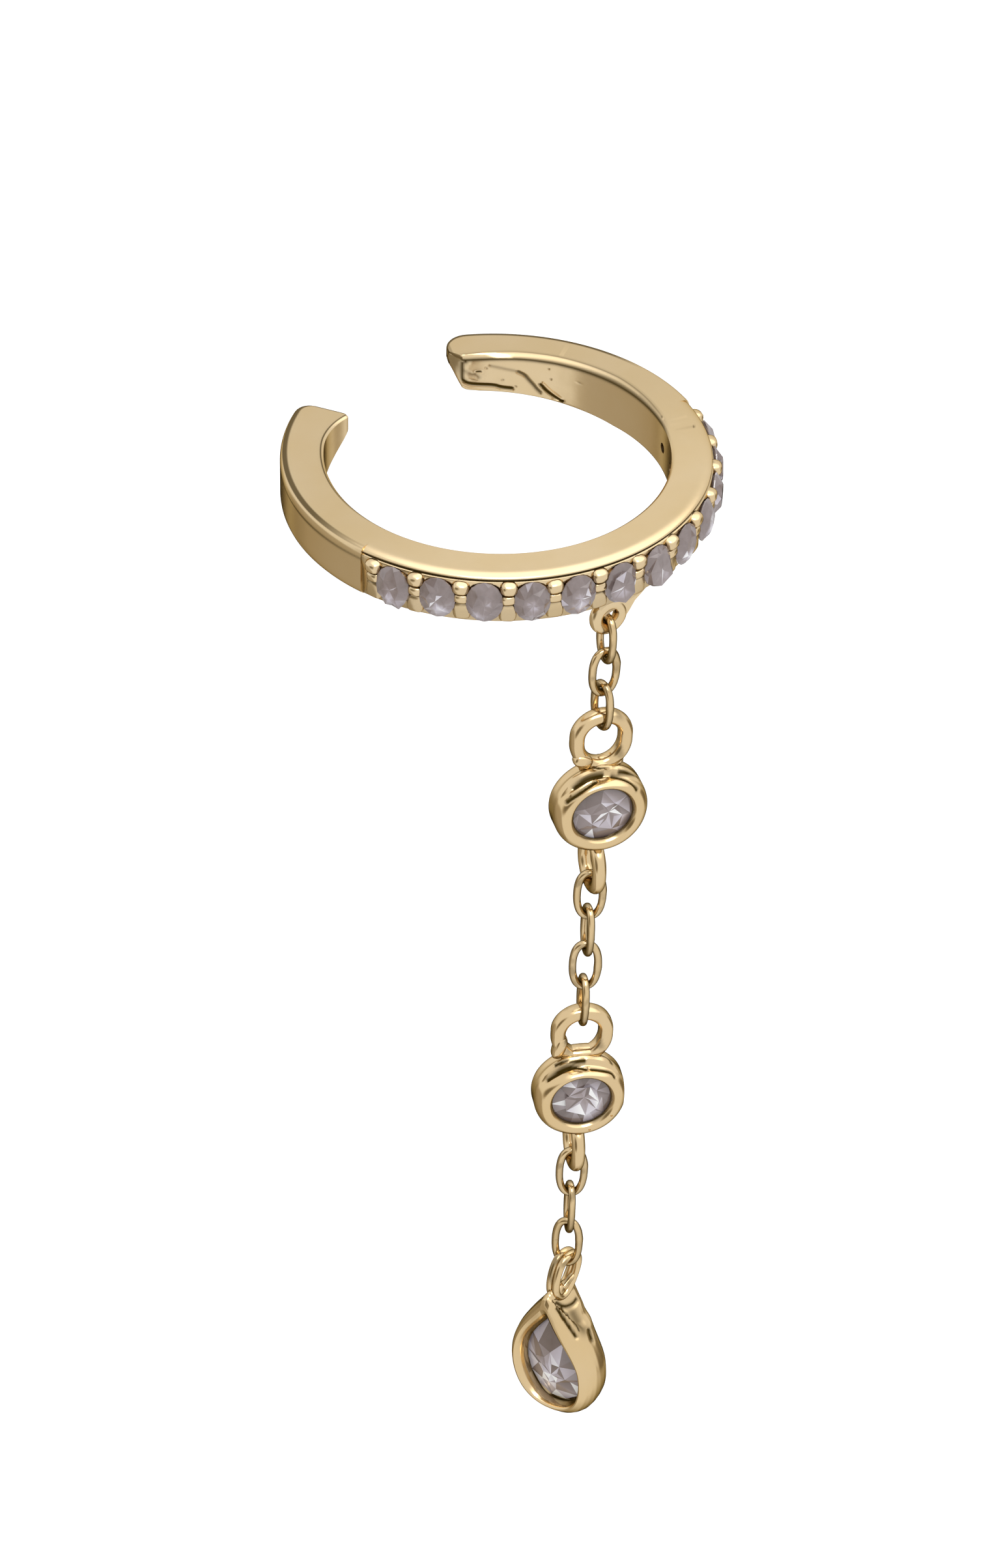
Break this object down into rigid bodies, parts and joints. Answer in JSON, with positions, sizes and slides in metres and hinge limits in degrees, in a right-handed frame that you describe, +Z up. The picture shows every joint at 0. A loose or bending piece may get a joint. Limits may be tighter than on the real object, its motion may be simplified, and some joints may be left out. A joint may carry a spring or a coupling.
{
  "type": "ear cuff",
  "caption": "Open ear cuff with a row of small stones and a fine chain drop ending in a pear-shaped set stone.",
  "frame": {"origin": "middle of the open ring at half its height, where the ear's edge sits when the cuff is worn", "axes": "+Z up along the ring's axis, -Y through the middle of the stone row, +Y out through the open side, +X to the right seen from the stone row; the drop hangs towards -Z"},
  "size_m": [0.0132, 0.0131, 0.0347],
  "materials": {
    "gold_plate": "satin-polished yellow gold plate",
    "clear_crystal": "cut clear crystal"
  },
  "bodies": {
    "cuff": {"cuff_band": "gold_plate", "link_a1": "gold_plate", "link_a2": "gold_plate", "link_a3": "gold_plate", "round_setting_1": "gold_plate", "link_b1": "gold_plate", "link_b2": "gold_plate", "link_b3": "gold_plate", "link_b4": "gold_plate", "round_setting_2": "gold_plate", "link_c1": "gold_plate", "link_c2": "gold_plate", "link_c3": "gold_plate", "row_stone_01": "clear_crystal", "row_stone_02": "clear_crystal", "row_stone_03": "clear_crystal", "row_stone_04": "clear_crystal", "row_stone_05": "clear_crystal", "row_stone_06": "clear_crystal", "row_stone_07": "clear_crystal", "row_stone_08": "clear_crystal", "row_stone_09": "clear_crystal", "row_stone_10": "clear_crystal", "row_stone_11": "clear_crystal", "row_stone_12": "clear_crystal", "round_stone_1": "clear_crystal", "round_stone_2": "clear_crystal"},
    "pear_drop": {"pear_setting": "gold_plate", "pear_stone": "clear_crystal"}
  },
  "joints": [
    {"name": "pear_swing", "type": "hinge", "parent": "cuff", "child": "pear_drop", "pos_m": [-0.00122, -0.00567, -0.02783], "axis": [0.1736, -0.9848, 0], "range_deg": [-60, 60]}
  ]
}
